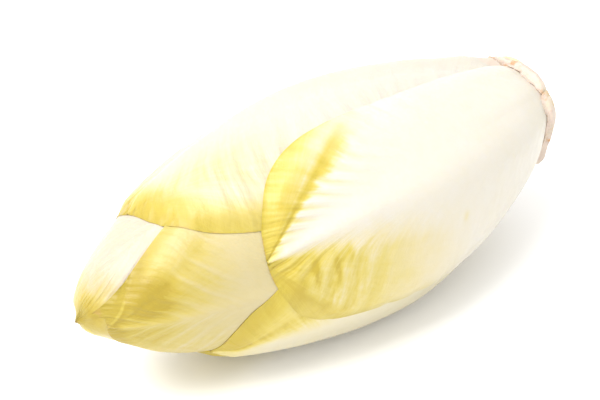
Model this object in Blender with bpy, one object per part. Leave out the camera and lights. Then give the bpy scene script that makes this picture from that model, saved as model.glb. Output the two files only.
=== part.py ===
"""A head of Belgian endive lying on its side, built leaf by leaf round its core.

The head lies along X, with the cut base at +X, the tip at -X and the belly on z = 0.
A place on the head is its share of the length (0 at the cut base, 1 at the tip), its
azimuth round the axis (0 is up, 90 is towards -Y) and its radius from the axis.
Every leaf is laid on the pile of the leaves inside it, from the heart outwards.
"""

import math

import bmesh
import bpy
import numpy as np

# Driving dimensions: metres, degrees and shares of the head's length.
HEAD_LENGTH = 0.130
BELLY_RADIUS = 0.0293  # the largest radius of the closed head
BELLY_AT = 0.45
BASE_SHARE = 0.41  # radius of the cut base over that of the belly
BASE_FULLNESS = 0.93
TIP_FULLNESS = 0.64
TIP_DROOP = 0.20  # the axis sinks by this share of the radius lost towards the tip
BASE_RISE = 0.32  # and rises by this share of the radius lost towards the base
LEAN = 0.055  # the heavier base end leans down by this slope
AXIS_AT_BELLY = 0.0269  # the axis over the floor, low enough to press the belly flat
FLAT_LIMIT = 0.0001  # what ends up lower than this lies on the floor itself
PRESS_REACH = 0.0080  # how deep into the head that pressing is felt
LEAST_DOWNWARDS = 0.05  # directions flatter than this slope count as reaching the floor here

CORE_RADIUS = 0.0090
CORE_REACH = 0.36
CORE_TAPER = 0.8
CORE_DOME = 0.0020  # the cut end of the core stands proud of the leaf bases
CORE_SHOULDER = (0.75, 0.60)  # the dome's shoulder: share of its height and of the radius
CORE_END = 0.97  # the last ring before the core's point, as a share of its reach
HEART_HOLLOW = 0.0012  # radius of the hollow that the innermost leaf rolls round
TIP_HOLLOW = 0.0010
GAP = 0.0006  # between one outer leaf and the next
HEART_GAP = 0.0009  # the heart is packed more loosely
STUMP_GAP = 0.0016
HEART_STRETCH = (0.5, 1.5)  # how far the heart's leaves may be squeezed or spread

# The pile is worked out on a net of stations along the head by directions round it.
FIRST_STATION = -0.02
STATION_STEP = 0.01
STATIONS = 105
DIRECTION_STEP = 3.0
DIRECTIONS = 120
LEAF_REACH = (6, 5)  # stations and directions over which a leaf bridges steps under it
STUMP_REACH = (2, 3)
FIT_FROM = 0.05  # nearer the base, the core and its leaves set the radius
FIT_REACH = 2
FIT_ROUNDS = 8

# A leaf's outline runs straight from its base to its swell and closes to the tip as a
# superellipse. Its rib is a ridge that fades from the base to the tip.
CORNER_ANGLE = 50  # where along that curve, in degrees, the leaf's side becomes its top
RIB_WIDTH_BASE = 19.0
RIB_WIDTH_TIP = 5.0
BLADE_TAPER = 0.40
ROW_CROWDING = 0.09  # rows lie closer together towards the base and the tip
SIDE_POINTS = 29  # points along the straight part of a leaf's side

# name, azimuth, base, tip, swell, half width at base and swell, bluntness along the leaf,
# roundness across it, rib, blade
OUTER_LEAVES = [
    ("leaf_08_tip_lining", 165.0, 0.090, 0.970, 0.50, 68, 112, 8.0, 2.4, 0.0030, 0.0016),
    ("leaf_07_tip_hood", 8.0, 0.075, 1.000, 0.50, 70, 126, 10.0, 2.4, 0.0032, 0.0016),
    ("leaf_06_front_tip", 85.8, 0.060, 0.972, 0.56, 66, 78, 3.8, 2.4, 0.0034, 0.0015),
    ("leaf_05_back", -146.0, 0.045, 0.905, 0.50, 68, 84, 3.0, 2.4, 0.0036, 0.0015),
    ("leaf_04_top", -26.3, 0.030, 0.847, 0.49, 68, 81, 3.6, 2.8, 0.0038, 0.0015),
    ("leaf_03_under", 138.6, 0.014, 0.796, 0.45, 70, 72.5, 2.4, 2.7, 0.0040, 0.0016),
    ("leaf_02_outer_back", -112.0, 0.008, 0.730, 0.45, 68, 50, 3.0, 2.4, 0.0042, 0.0015),
    ("leaf_01_outer_front", 66.4, 0.004, 0.718, 0.45, 68, 52, 3.5, 1.9, 0.0044, 0.0015),
]
STUMPS = [
    ("leaf_stump_top", -8.0, 0.001, 0.030, 0.01, 57, 56, 4.0, 4.0, 0.0010, 0.0009),
    ("leaf_stump_front", 110.0, 0.000, 0.036, 0.01, 57, 56, 4.0, 4.0, 0.0010, 0.0009),
    ("leaf_stump_back", -128.0, 0.001, 0.032, 0.01, 57, 56, 4.0, 4.0, 0.0010, 0.0009),
]
OUTER_MESH = (14, 11.0)  # rows along a leaf, degrees between its columns
HEART_MESH = (11, 15.0)
STUMP_MESH = (4, 8.0)

HEART_LEAVES = 7
HEART_FIRST_AZIMUTH = 279.0
LEAF_TURN = 137.5  # from one leaf to the next inside it
HEART_BASES = (0.145, 0.300)  # from the heart's outermost leaf to its innermost
HEART_TIPS = (0.900, 0.580)
HEART_SWELL = 0.45
HEART_HALF_WIDTHS = (66, 112)
HEART_BLUNTNESS = 4.0
HEART_ROUNDNESS = 2.4
HEART_RIB = 0.0040
HEART_BLADE = 0.0022

CORE_RINGS = 9
CORE_SIDES = 24
SHARP_ANGLE = 50.0  # edges that turn by more than this are left sharp

stations = FIRST_STATION + STATION_STEP * np.arange(STATIONS)
directions = DIRECTION_STEP * np.arange(DIRECTIONS)


def head_radius(share):
    """The closed head's radius: a rounded cone at the base and a blunt egg at the tip."""
    towards_base = np.clip(share / BELLY_AT, 0.0, 1.0)
    towards_tip = np.clip((share - BELLY_AT) / (1.0 - BELLY_AT), 0.0, 1.0)
    base = BASE_SHARE + (1.0 - BASE_SHARE) * np.sin(math.pi / 2 * towards_base) ** BASE_FULLNESS
    tip = np.maximum(np.cos(math.pi / 2 * towards_tip), 0.0) ** TIP_FULLNESS
    return BELLY_RADIUS * np.where(share < BELLY_AT, base, tip)


def axis_height(share):
    lost = BELLY_RADIUS - head_radius(share)
    drift = np.where(share < BELLY_AT, BASE_RISE * lost, -TIP_DROOP * lost)
    return AXIS_AT_BELLY + drift - LEAN * (BELLY_AT - share) * HEAD_LENGTH


def core_radius(share):
    left = np.clip(1.0 - share / CORE_REACH, 0.0, 1.0)
    return CORE_RADIUS * np.minimum(left ** CORE_TAPER, 1.0)


def moved(field, reach, axis):
    """Copies of a field moved by up to the reach; it wraps round but not along the head."""
    if axis == 1:
        return [np.roll(field, step, axis=1) for step in range(-reach, reach + 1)]
    padded = np.pad(field, ((reach, reach), (0, 0)), mode="edge")
    return [padded[step:step + STATIONS] for step in range(2 * reach + 1)]


def spread(field, combine, reach):
    along = combine(moved(field, reach[0], 0), axis=0)
    return combine(moved(along, reach[1], 1), axis=0)


def blanket(pile, reach):
    """A smooth surface that lies on the pile and never cuts into it."""
    level = np.mean(moved(pile.mean(axis=1, keepdims=True), reach[0], 0), axis=0)
    bumps = pile - level
    return level + spread(spread(bumps, np.max, reach), np.mean, reach)


def sample(field, share, azimuth):
    """Read a field between its stations and directions."""
    row = np.clip((share - FIRST_STATION) / STATION_STEP, 0, STATIONS - 1.001)
    column = (azimuth / DIRECTION_STEP) % DIRECTIONS
    row_low, column_low = row.astype(int), column.astype(int) % DIRECTIONS
    row_part, column_part = row - row_low, column - np.floor(column)
    column_high = (column_low + 1) % DIRECTIONS
    near = field[row_low, column_low] * (1 - column_part) + field[row_low, column_high] * column_part
    far = (field[row_low + 1, column_low] * (1 - column_part)
           + field[row_low + 1, column_high] * column_part)
    return near * (1 - row_part) + far * row_part


class Leaf:
    """One leaf: its outline, its thickness and the surface that it lies on."""

    def __init__(self, name, azimuth, base, tip, swell, half_base, half_swell,
                 bluntness, roundness, rib, blade):
        self.name = name
        self.azimuth, self.base, self.tip, self.swell = azimuth, base, tip, swell
        self.half_base, self.half_swell = half_base, half_swell
        self.bluntness, self.roundness = bluntness, roundness
        self.rib, self.blade = rib, blade

    def half_width(self, share):
        """Half the leaf's width in degrees at a share of the head's length."""
        below = np.clip((self.swell - share) / (self.swell - self.base), 0.0, 1.0)
        above = np.clip((share - self.swell) / (self.tip - self.swell), 0.0, 1.0)
        straight = self.half_swell + (self.half_base - self.half_swell) * below ** 2
        return straight * (1.0 - above ** self.bluntness) ** (1.0 / self.roundness)

    def thickness(self, share, offset):
        along = np.clip((share - self.base) / (self.tip - self.base), 0.0, 1.0)
        rib_width = RIB_WIDTH_BASE + (RIB_WIDTH_TIP - RIB_WIDTH_BASE) * along
        ridge = (self.rib - self.blade) * (1.0 - along) * np.exp(-(offset / rib_width) ** 2)
        return self.blade * (1.0 - BLADE_TAPER * along) + ridge

    def lay_on(self, pile, gap, reach=LEAF_REACH):
        """Rest the leaf on the pile and give back the pile with the leaf on it."""
        self.under = blanket(pile, reach) + gap
        offset = (directions - self.azimuth + 180.0) % 360.0 - 180.0
        share, offset = np.meshgrid(stations, offset, indexing="ij")
        inside = (share >= self.base) & (share <= self.tip)
        inside &= np.abs(offset) <= self.half_width(share)
        return np.where(inside, self.under + self.thickness(share, offset), pile)

    def net(self, rows, column_degrees):
        """A net of places that fits the outline: share and offset for each row and column."""
        columns = 2 * round(self.half_swell / column_degrees)
        bend = np.radians(np.arange(91))
        arc_share = self.swell + (self.tip - self.swell) * np.sin(bend) ** (2.0 / self.bluntness)
        arc_offset = self.half_swell * np.abs(np.cos(bend)) ** (2.0 / self.roundness)
        low = np.linspace(self.base, self.swell, SIDE_POINTS, endpoint=False)
        up = np.linspace(0.0, 1.0, rows + 1)
        up = up - ROW_CROWDING * np.sin(2 * math.pi * up)
        side = spaced(np.append(low, arc_share[:CORNER_ANGLE + 1]),
                      np.append(self.half_width(low), arc_offset[:CORNER_ANGLE + 1]), up)
        half_top = spaced(arc_share[CORNER_ANGLE:], arc_offset[CORNER_ANGLE:],
                          np.linspace(0.0, 1.0, columns // 2 + 1))
        top_share = np.append(half_top[0], half_top[0][-2::-1])
        top_offset = np.append(-half_top[1], half_top[1][-2::-1])
        up = up[:, None]
        across = np.linspace(-1.0, 1.0, columns + 1)[None, :]
        share = up * top_share + side[0][:, None] - up * side[0][-1]
        offset = up * top_offset + across * side[1][:, None] - up * across * side[1][-1]
        return share, offset


def spaced(share, offset, parts):
    """Points at the given parts of the length of a curve on the head's surface."""
    length = np.hypot(np.diff(share) * HEAD_LENGTH, np.radians(np.diff(offset)) * BELLY_RADIUS)
    run = np.append(0.0, np.cumsum(length))
    return np.interp(parts * run[-1], run, share), np.interp(parts * run[-1], run, offset)


def lay_heart():
    """The heart's leaves, from the innermost out, and the pile that they make."""
    pile = np.maximum(core_radius(stations), HEART_HOLLOW)[:, None] + np.zeros((1, DIRECTIONS))
    leaves = []
    for number in reversed(range(HEART_LEAVES)):
        inward = number / (HEART_LEAVES - 1)
        leaf = Leaf(
            name=f"leaf_{number + 9:02d}_heart",
            azimuth=HEART_FIRST_AZIMUTH + LEAF_TURN * number,
            base=HEART_BASES[0] + (HEART_BASES[1] - HEART_BASES[0]) * inward,
            tip=HEART_TIPS[0] + (HEART_TIPS[1] - HEART_TIPS[0]) * inward,
            swell=HEART_SWELL, half_base=HEART_HALF_WIDTHS[0], half_swell=HEART_HALF_WIDTHS[1],
            bluntness=HEART_BLUNTNESS, roundness=HEART_ROUNDNESS, rib=HEART_RIB, blade=HEART_BLADE)
        pile = leaf.lay_on(pile, HEART_GAP)
        leaves.append(leaf)
    return leaves, pile


def lay_outside(pile, rows, gap, reach=LEAF_REACH):
    """Lay the listed leaves on the pile, one over the other."""
    leaves = [Leaf(*row) for row in rows]
    for leaf in leaves:
        pile = leaf.lay_on(pile, gap, reach)
    return leaves, pile


def fit_outside():
    """Choose the heart's surface so that the pile's mean radius is the head's own."""
    wanted = head_radius(stations)[:, None]
    least = np.maximum(core_radius(stations), TIP_HOLLOW)[:, None]
    free = (stations >= FIT_FROM)[:, None]
    heart = least + np.zeros((1, DIRECTIONS))
    for _ in range(FIT_ROUNDS):
        _, pile = lay_outside(heart, OUTER_LEAVES, GAP)
        error = np.where(free, pile.mean(axis=1, keepdims=True) - wanted, 0.0)
        heart = np.maximum(heart - np.mean(moved(error, FIT_REACH, 0), axis=0), least)
    leaves, pile = lay_outside(heart, OUTER_LEAVES, GAP)
    return heart, leaves, pile


def fit_heart(pile, heart):
    """Spread or squeeze the heart's leaves, station by station, to fill their room."""
    middle = np.maximum(core_radius(stations), HEART_HOLLOW)[:, None]
    room = (heart - GAP - middle).min(axis=1, keepdims=True)
    stretch = np.clip(room / (pile.max(axis=1, keepdims=True) - middle + GAP), *HEART_STRETCH)
    stretch = np.min(moved(stretch, LEAF_REACH[0], 0), axis=0)
    stretch = np.mean(moved(stretch, LEAF_REACH[0], 0), axis=0)
    return stretch + np.zeros((1, DIRECTIONS))


def press(share, azimuth, radius, pile):
    """Press what lies over the floor in: the belly ends on the plane z = 0."""
    downwards = np.maximum(-np.cos(np.radians(azimuth)), LEAST_DOWNWARDS)
    floor = axis_height(share) / downwards
    outside = np.maximum(sample(pile, share, azimuth), floor)
    still = floor - PRESS_REACH
    squeezed = still + (radius - still) * (floor - still) / (outside - still)
    return np.where(radius > still, squeezed, radius)


def place(share, azimuth, radius):
    """World places for shares, azimuths and radii, with nothing under the floor."""
    turn = np.radians(azimuth)
    height = axis_height(share) + radius * np.cos(turn)
    height = np.where(height < FLAT_LIMIT, 0.0, height)
    return np.stack([(0.5 - share) * HEAD_LENGTH, -radius * np.sin(turn), height], axis=-1)


def leaf_shell(leaf, mesh_size, pile, stretch=None):
    """Corners and faces of a leaf: its outer and inner skins, joined round the rim."""
    share, offset = leaf.net(*mesh_size)
    azimuth = leaf.azimuth + offset
    skins = []
    under = sample(leaf.under, share, azimuth)
    for radius in (under + leaf.thickness(share, offset), under):
        if stretch is not None:
            middle = np.maximum(core_radius(share), HEART_HOLLOW)
            radius = middle + (radius - middle) * sample(stretch, share, azimuth)
        skins.append(place(share, azimuth, press(share, azimuth, radius, pile)))
    rows, columns = share.shape
    outer = np.arange(rows * columns).reshape(rows, columns)
    inner = outer + rows * columns
    faces = []
    for row in range(rows - 1):
        for column in range(columns - 1):
            ring = [(row, column), (row + 1, column), (row + 1, column + 1), (row, column + 1)]
            faces.append([outer[spot] for spot in ring])
            faces.append([inner[spot] for spot in reversed(ring)])
    rim = ([(0, column) for column in range(columns)]
           + [(row, columns - 1) for row in range(1, rows)]
           + [(rows - 1, column) for column in reversed(range(columns - 1))]
           + [(row, 0) for row in reversed(range(1, rows - 1))])
    for spot, after in zip(rim, rim[1:] + rim[:1]):
        faces.append([outer[spot], outer[after], inner[after], inner[spot]])
    return np.concatenate([skin.reshape(-1, 3) for skin in skins]), faces


def core_shell():
    """Corners and faces of the core: a cone on the head's axis with a domed cut end."""
    turns = np.arange(CORE_SIDES) * 360.0 / CORE_SIDES
    shares = np.linspace(0.0, CORE_END * CORE_REACH, CORE_RINGS)
    radii = core_radius(shares)
    dome = CORE_DOME / HEAD_LENGTH
    shares = np.concatenate([[-CORE_SHOULDER[0] * dome], shares])
    radii = np.concatenate([[CORE_SHOULDER[1] * CORE_RADIUS], radii])
    share, azimuth = np.meshgrid(shares, turns, indexing="ij")
    rings = place(share, azimuth, radii[:, None] + np.zeros_like(azimuth)).reshape(-1, 3)
    ends = place(np.array([-dome, CORE_REACH]), np.zeros(2), np.zeros(2))
    faces = []
    for side in range(CORE_SIDES):
        after = (side + 1) % CORE_SIDES
        for ring in range(len(shares) - 1):
            near, far = ring * CORE_SIDES, (ring + 1) * CORE_SIDES
            faces.append([near + side, far + side, far + after, near + after])
        last = (len(shares) - 1) * CORE_SIDES
        faces.append([len(rings), side, after])
        faces.append([len(rings) + 1, last + after, last + side])
    return np.concatenate([rings, ends]), faces


def new_material(name, colour, roughness):
    material = bpy.data.materials.new(name)
    material.use_nodes = True
    shader = material.node_tree.nodes["Principled BSDF"]
    shader.inputs["Base Color"].default_value = (*colour, 1.0)
    shader.inputs["Roughness"].default_value = roughness
    shader.inputs["Metallic"].default_value = 0.0
    return material


def new_object(name, corners, faces, material):
    mesh = bpy.data.meshes.new(name)
    body = bmesh.new()
    spots = [body.verts.new(corner) for corner in corners]
    for face in faces:
        body.faces.new([spots[corner] for corner in face])
    body.to_mesh(mesh)
    body.free()
    mesh.materials.append(material)
    mesh.shade_smooth()
    mesh.set_sharp_from_angle(angle=math.radians(SHARP_ANGLE))
    bpy.context.scene.collection.objects.link(bpy.data.objects.new(name, mesh))


def build():
    for old in list(bpy.data.objects):
        bpy.data.objects.remove(old, do_unlink=True)

    heart, outer_leaves, pile = fit_outside()
    heart_leaves, heart_pile = lay_heart()
    stretch = fit_heart(heart_pile, heart)
    stumps, _ = lay_outside(pile, STUMPS, STUMP_GAP, STUMP_REACH)

    outer_skin = new_material("outer_leaf", (0.90, 0.88, 0.62), 0.45)
    heart_skin = new_material("heart_leaf", (0.93, 0.91, 0.70), 0.45)
    stump_skin = new_material("trimmed_leaf", (0.72, 0.52, 0.28), 0.70)
    core_skin = new_material("core", (0.86, 0.74, 0.52), 0.60)

    shells = [("core_stem", *core_shell(), core_skin)]
    shells += [(leaf.name, *leaf_shell(leaf, OUTER_MESH, pile), outer_skin) for leaf in outer_leaves]
    shells += [(leaf.name, *leaf_shell(leaf, HEART_MESH, pile, stretch), heart_skin)
               for leaf in heart_leaves]
    shells += [(leaf.name, *leaf_shell(leaf, STUMP_MESH, pile), stump_skin) for leaf in stumps]

    every = np.concatenate([corners for _, corners, _, _ in shells])
    middle = (every.min(axis=0) + every.max(axis=0)) / 2
    middle[2] = 0.0
    for name, corners, faces, material in shells:
        new_object(name, corners - middle, faces, material)


build()
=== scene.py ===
# A head of Belgian endive lying on its side, leaf by leaf, on a white table.
import math

import bpy
import numpy as np
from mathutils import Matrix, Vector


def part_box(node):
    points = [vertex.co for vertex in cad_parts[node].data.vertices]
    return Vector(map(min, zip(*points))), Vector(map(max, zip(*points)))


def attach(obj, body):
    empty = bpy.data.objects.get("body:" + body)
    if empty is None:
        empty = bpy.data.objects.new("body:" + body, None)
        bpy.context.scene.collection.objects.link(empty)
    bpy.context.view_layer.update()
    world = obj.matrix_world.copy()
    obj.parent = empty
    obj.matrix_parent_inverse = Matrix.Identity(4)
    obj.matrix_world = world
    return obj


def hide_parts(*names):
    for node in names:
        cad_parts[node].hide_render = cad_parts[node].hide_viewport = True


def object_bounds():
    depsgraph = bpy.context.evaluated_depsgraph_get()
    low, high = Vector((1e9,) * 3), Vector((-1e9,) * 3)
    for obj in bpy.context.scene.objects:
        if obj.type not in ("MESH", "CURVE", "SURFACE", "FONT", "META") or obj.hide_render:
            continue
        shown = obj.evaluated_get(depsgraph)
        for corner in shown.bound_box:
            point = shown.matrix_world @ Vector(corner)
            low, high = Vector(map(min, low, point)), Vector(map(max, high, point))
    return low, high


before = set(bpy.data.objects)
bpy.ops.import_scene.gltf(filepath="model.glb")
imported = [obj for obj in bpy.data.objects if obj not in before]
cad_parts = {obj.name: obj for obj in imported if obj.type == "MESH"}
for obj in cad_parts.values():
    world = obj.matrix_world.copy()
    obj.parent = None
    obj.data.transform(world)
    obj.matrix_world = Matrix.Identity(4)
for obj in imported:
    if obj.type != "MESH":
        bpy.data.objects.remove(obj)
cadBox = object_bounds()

print("frame loaded:", len(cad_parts), "nodes")

# A place on the head is a share of its length (0 at the cut base, 1 at the tip), an
# azimuth round its axis in degrees (0 is up, 90 is the front) and a radius.
coreLow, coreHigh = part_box("core_stem")
cutDome = 0.0020                                   # the cut end stands proud by this much
headLength = cadBox[1][0] - cadBox[0][0] - cutDome

head = {
    "girth": 0.2254 * headLength,                  # largest radius
    "girthAt": 0.45,
    "baseShare": 0.41,                             # radius at the base over the largest
    "baseFullness": 0.93,
    "tipFullness": 0.64,
    "axisAtGirth": 0.2069 * headLength,            # height of the axis over the table
    "tipDroop": 0.20,                              # how far the axis sinks as the radius shrinks
    "baseRise": 0.32,                              # and how far it rises towards the base
    "lean": 0.055,                                 # the slope of the whole axis, up to the tip
    "pressDepth": 0.0080,                          # how deep the resting belly is squeezed
    "axisY": (coreLow[1] + coreHigh[1]) / 2,
    "baseX": cadBox[0][0] + headLength,
}

net = {                                            # where the pile of leaves is worked out
    "first": -0.02,
    "stationStep": 0.005,
    "stations": 209,
    "directionStep": 1.5,
    "directions": 240,
    "leafReach": (7, 6),                           # how many steps a leaf bridges, along and round
    "stumpReach": (3, 3),
    "fitFrom": 0.05,
    "fitRounds": 8,
    "fitReach": 4,
}
stationShares = net["first"] + net["stationStep"] * np.arange(net["stations"])
directionAngles = net["directionStep"] * np.arange(net["directions"])


def headRadius(share):
    toBase = np.clip(share / head["girthAt"], 0, 1)
    toTip = np.clip((share - head["girthAt"]) / (1 - head["girthAt"]), 0, 1)
    swelling = np.sin(math.pi / 2 * toBase) ** head["baseFullness"]
    base = head["baseShare"] + (1 - head["baseShare"]) * swelling
    tip = np.maximum(np.cos(math.pi / 2 * toTip), 0) ** head["tipFullness"]
    return head["girth"] * np.where(share < head["girthAt"], base, tip)


def axisHeight(share):
    lost = head["girth"] - headRadius(share)
    drift = np.where(share < head["girthAt"], head["baseRise"] * lost, -head["tipDroop"] * lost)
    return head["axisAtGirth"] + drift - head["lean"] * (head["girthAt"] - share) * headLength


core = {"radius": 0.0090, "reach": 0.36, "taper": 0.8, "hollow": 0.0012, "tipHollow": 0.0010}


def coreRadius(share):
    left = np.clip(1 - share / core["reach"], 0, 1)
    return core["radius"] * np.minimum(left ** core["taper"], 1)


def smoothStep(low, high, value):
    part = np.clip((value - low) / (high - low), 0, 1)
    return part * part * (3 - 2 * part)


def between(pair, part):                           # from the first of a pair to the second
    return pair[0] + (pair[1] - pair[0]) * part


def sided(value, upper):                           # a pair is for the two sides of the rib
    first, second = value if isinstance(value, tuple) else (value, value)
    return first * upper + second * (1 - upper)


# The pile: each leaf lies on the ones inside it.
def shifted(field, reach, axis):
    if axis == 1:                                  # round the head it closes on itself
        return [np.roll(field, step, axis=1) for step in range(-reach, reach + 1)]
    padded = np.pad(field, ((reach, reach), (0, 0)), mode="edge")
    return [padded[step:step + len(field)] for step in range(2 * reach + 1)]


def highest(copies):
    top = copies[0]
    for copy in copies[1:]:
        top = np.maximum(top, copy)
    return top


def average(copies):
    return sum(copies) / len(copies)


def blanket(pile, reach):
    level = average(shifted(pile.mean(axis=1, keepdims=True), reach[0], 0))
    bumps = pile - level
    for combine in (highest, average):
        bumps = combine(shifted(combine(shifted(bumps, reach[0], 0)), reach[1], 1))
    return level + bumps


def readField(field, share, azimuth):
    lastRow = net["stations"] - 1.001              # just short of the last, which has none above it
    row = np.clip((share - net["first"]) / net["stationStep"], 0, lastRow)
    column = (azimuth / net["directionStep"]) % net["directions"]
    rowLow, columnLow = row.astype(int), column.astype(int) % net["directions"]
    rowPart, columnPart = row - rowLow, column - np.floor(column)
    columnHigh = (columnLow + 1) % net["directions"]
    near = field[rowLow, columnLow] * (1 - columnPart) + field[rowLow, columnHigh] * columnPart
    far = field[rowLow + 1, columnLow] * (1 - columnPart) + field[rowLow + 1, columnHigh] * columnPart
    return near * (1 - rowPart) + far * rowPart


waves = {"octaves": 3, "perOctave": 4, "rates": (0.7, 1.3), "level": 5}


def gentleNoise(x, y, seed):                       # smooth and repeatable, between -1 and 1
    chance = np.random.default_rng(seed)
    total = np.zeros(np.broadcast(x, y).shape)
    for octave in range(waves["octaves"]):
        for _ in range(waves["perOctave"]):
            turn, phase = chance.uniform(0, 2 * math.pi, 2)
            rate = 2 ** octave * chance.uniform(*waves["rates"])
            total += np.sin(rate * (x * math.cos(turn) + y * math.sin(turn)) + phase) / 2 ** octave
    return total / waves["level"]


# Leaves from the innermost of the wrapped ones out. Shares and degrees as above, metres
# for sizes. The fan is the fleshy part that the veins fill; outside it the blade is thin.
# A pair of fan, groove, lip or vein values is for the rib's two sides, the upper one first.
common = {
    "roundness": 2.4, "bluntness": 3.0, "swell": 0.5, "halfBase": 68, "ribSway": 0.0, "ribLean": 0.0,
    "rib": 0.0030, "ribWidth": (15, 2.2), "blade": 0.0010, "edge": 0.00018, "edgeBand": 0.0055,
    "gap": 0.00010, "hug": 0.0060, "hugAlong": (0.35, 0.55), "drape": 1,    # the margin lies close
    "fan": 0.86, "fanReach": 0.30, "fanPower": 0.70, "groove": 0.00015, "lip": 0.00015,
    "veinRise": 0.17, "veinBend": 40, "veinSpacing": 0.045, "veinHeight": 0.00014, "wander": 0.35,
    "wave": 0.00020, "ragged": 0.0, "beak": None,
    "patches": [],                                 # share, degrees, their two reaches, amount
}
foldedTip = {                                      # a pointed corner with a crease across it
    "offset": -33, "half": 19, "reach": 0.032, "pointed": 0.3, "power": 14,
    "creaseShare": 0.929, "creaseSlope": 0.00097, "creaseFrom": 37,
    "drop": 0.0005, "step": (-0.2, 0.6), "ridge": 0.6, "ridgeAt": -0.5, "ridgeWidth": 0.6,
}
leaves = [
    {**common, "node": "leaf_08_tip_lining", "azimuth": 165.0, "base": 0.090, "tip": 1.000,
     "halfSwell": 112, "bluntness": 60.0, "rib": 0.0020, "seed": 8},
    {**common, "node": "leaf_07_tip_hood", "azimuth": 8.0, "base": 0.075, "tip": 1.000,
     "halfBase": 70, "halfSwell": 130, "bluntness": 60.0, "rib": 0.0018,
     "patches": [(0.985, 45, 0.022, 45, 0.34)], "seed": 7},
    {**common, "node": "leaf_06_front_tip", "azimuth": 85.8, "base": 0.060, "tip": 0.972,
     "swell": 0.56, "halfBase": 66, "halfSwell": 78, "bluntness": 3.8, "beak": foldedTip,
     "patches": [(0.905, -24, 0.030, 17, 0.58), (0.925, -38, 0.02, 14, 0.3),
                 (0.86, 34, 0.06, 30, -0.14)],
     "seed": 6},
    {**common, "node": "leaf_05_back", "azimuth": -146.0, "base": 0.045, "tip": 0.905,
     "halfSwell": 84, "seed": 5},
    {**common, "node": "leaf_04_top", "azimuth": -26.3, "base": 0.030, "tip": 0.847,
     "swell": 0.49, "halfSwell": 81, "bluntness": 3.6, "roundness": 2.8, "rib": 0.0034, "seed": 4},
    {**common, "node": "leaf_03_under", "azimuth": 138.6, "base": 0.014, "tip": 0.796,
     "swell": 0.45, "halfBase": 70, "halfSwell": 72.5, "bluntness": 2.4, "roundness": 2.7,
     "rib": 0.0034, "seed": 3},
    {**common, "node": "leaf_02_outer_back", "azimuth": -112.0, "base": 0.008, "tip": 0.730,
     "swell": 0.45, "halfSwell": 50, "rib": 0.0038, "hugAlong": (0.05, 0.20), "seed": 2},
    {**common, "node": "leaf_01_outer_front", "azimuth": 66.4, "base": 0.004, "tip": 0.718,
     "swell": 0.45, "halfSwell": 52, "bluntness": 3.5, "roundness": 1.9,
     "ribSway": 4.4, "ribLean": 16.0, "rib": 0.0040, "ribWidth": (25, 0.6),
     "fan": (0.765, 1.25), "fanReach": 0.235, "fanPower": 0.78,
     "groove": (0.00016, 0.0), "lip": (0.00040, 0.0),
     "veinRise": (0.30, 0.20), "veinBend": (20, 9), "veinSpacing": (0.050, 0.060),
     "veinHeight": 0.00030, "wander": 0.30,
     "patches": [(0.690, 10, 0.02, 12, 0.08), (0.645, 13, 0.007, 8, 0.48),
                 (0.606, 13, 0.006, 8, 0.34), (0.578, 9, 0.006, 6, 0.22),
                 (0.657, -19, 0.010, 3, 0.10), (0.323, 15, 0.006, 3, 0.20)],
     "seed": 1},
]
heart = {
    "count": 7, "firstNumber": 9, "firstAzimuth": 279.0, "turn": 137.5,
    "bases": (0.145, 0.300), "tips": (0.900, 0.580),          # the outermost, then the innermost
    "stretch": (0.5, 1.5), "clearance": 0.0006, "firstSeed": 40,
}
heartLeaf = {
    "swell": 0.45, "halfBase": 66, "halfSwell": 112, "bluntness": 4.0, "rib": 0.0040,
    "blade": 0.0022, "edge": 0.0010, "gap": 0.0009,
}
detail = {                                         # what every leaf has alike
    "swayReach": 0.05,                             # the rib sways within this share of the tip
    "ribSoft": 2.0,                                # degrees over which one side becomes the other
    "leastRadius": 0.002,
    "leastSteep": 1.0,
    "spreadLimit": 1.2,
    "fanLimits": (0.0004, 1.6),
    "wanderRates": (22, 0.07),
    "firstCourse": 40,                             # keeps the count of the veins above zero
    "bladeThins": 0.4,                             # shares that are lost from the foot to the tip
    "ribThins": 0.86,
    "reliefFrom": (1.35, 0.85),                    # of the fan's reach
    "grooveWidth": 0.16,
    "grooveEnds": (0.01, 0.05),
    "leastLip": 3.0,                               # degrees
    "rim": (0.0005, 0.004),                        # metres from the outline
    "veinsFrom": (0.10, 0.80),                     # shares of the fan
    "veinsEnd": (0.90, 1.05),
    "veinsAlong": (0.30, 0.60),                    # shares of the leaf
    "wavesAlong": (0.2, 0.8),
    "waveRates": (30, 0.10),
    "waveSeed": 20,
    "notFolded": -10.0,
    "gapCloses": 0.8,
}


def halfWidth(leaf, share):                        # in degrees, at a share of the head
    below = np.clip((leaf["swell"] - share) / (leaf["swell"] - leaf["base"]), 0, 1)
    above = np.clip((share - leaf["swell"]) / (leaf["tip"] - leaf["swell"]), 0, 1)
    straight = leaf["halfSwell"] + (leaf["halfBase"] - leaf["halfSwell"]) * below ** 2
    return straight * (1 - above ** leaf["bluntness"]) ** (1 / leaf["roundness"]), straight, above


def marginDistance(leaf, offset, straight, above, degree):
    # metres to the leaf's outline, from its formula and how steep that is
    spread = np.clip(np.abs(offset) / straight, 0, detail["spreadLimit"])
    inside = 1 - above ** leaf["bluntness"] - spread ** leaf["roundness"]
    roundedLength = (leaf["tip"] - leaf["swell"]) * headLength
    steepAlong = leaf["bluntness"] * above ** (leaf["bluntness"] - 1) / roundedLength
    steepAcross = leaf["roundness"] * spread ** (leaf["roundness"] - 1) / (straight * degree)
    return np.maximum(inside / np.hypot(steepAlong, steepAcross + detail["leastSteep"]), 0)


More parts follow.
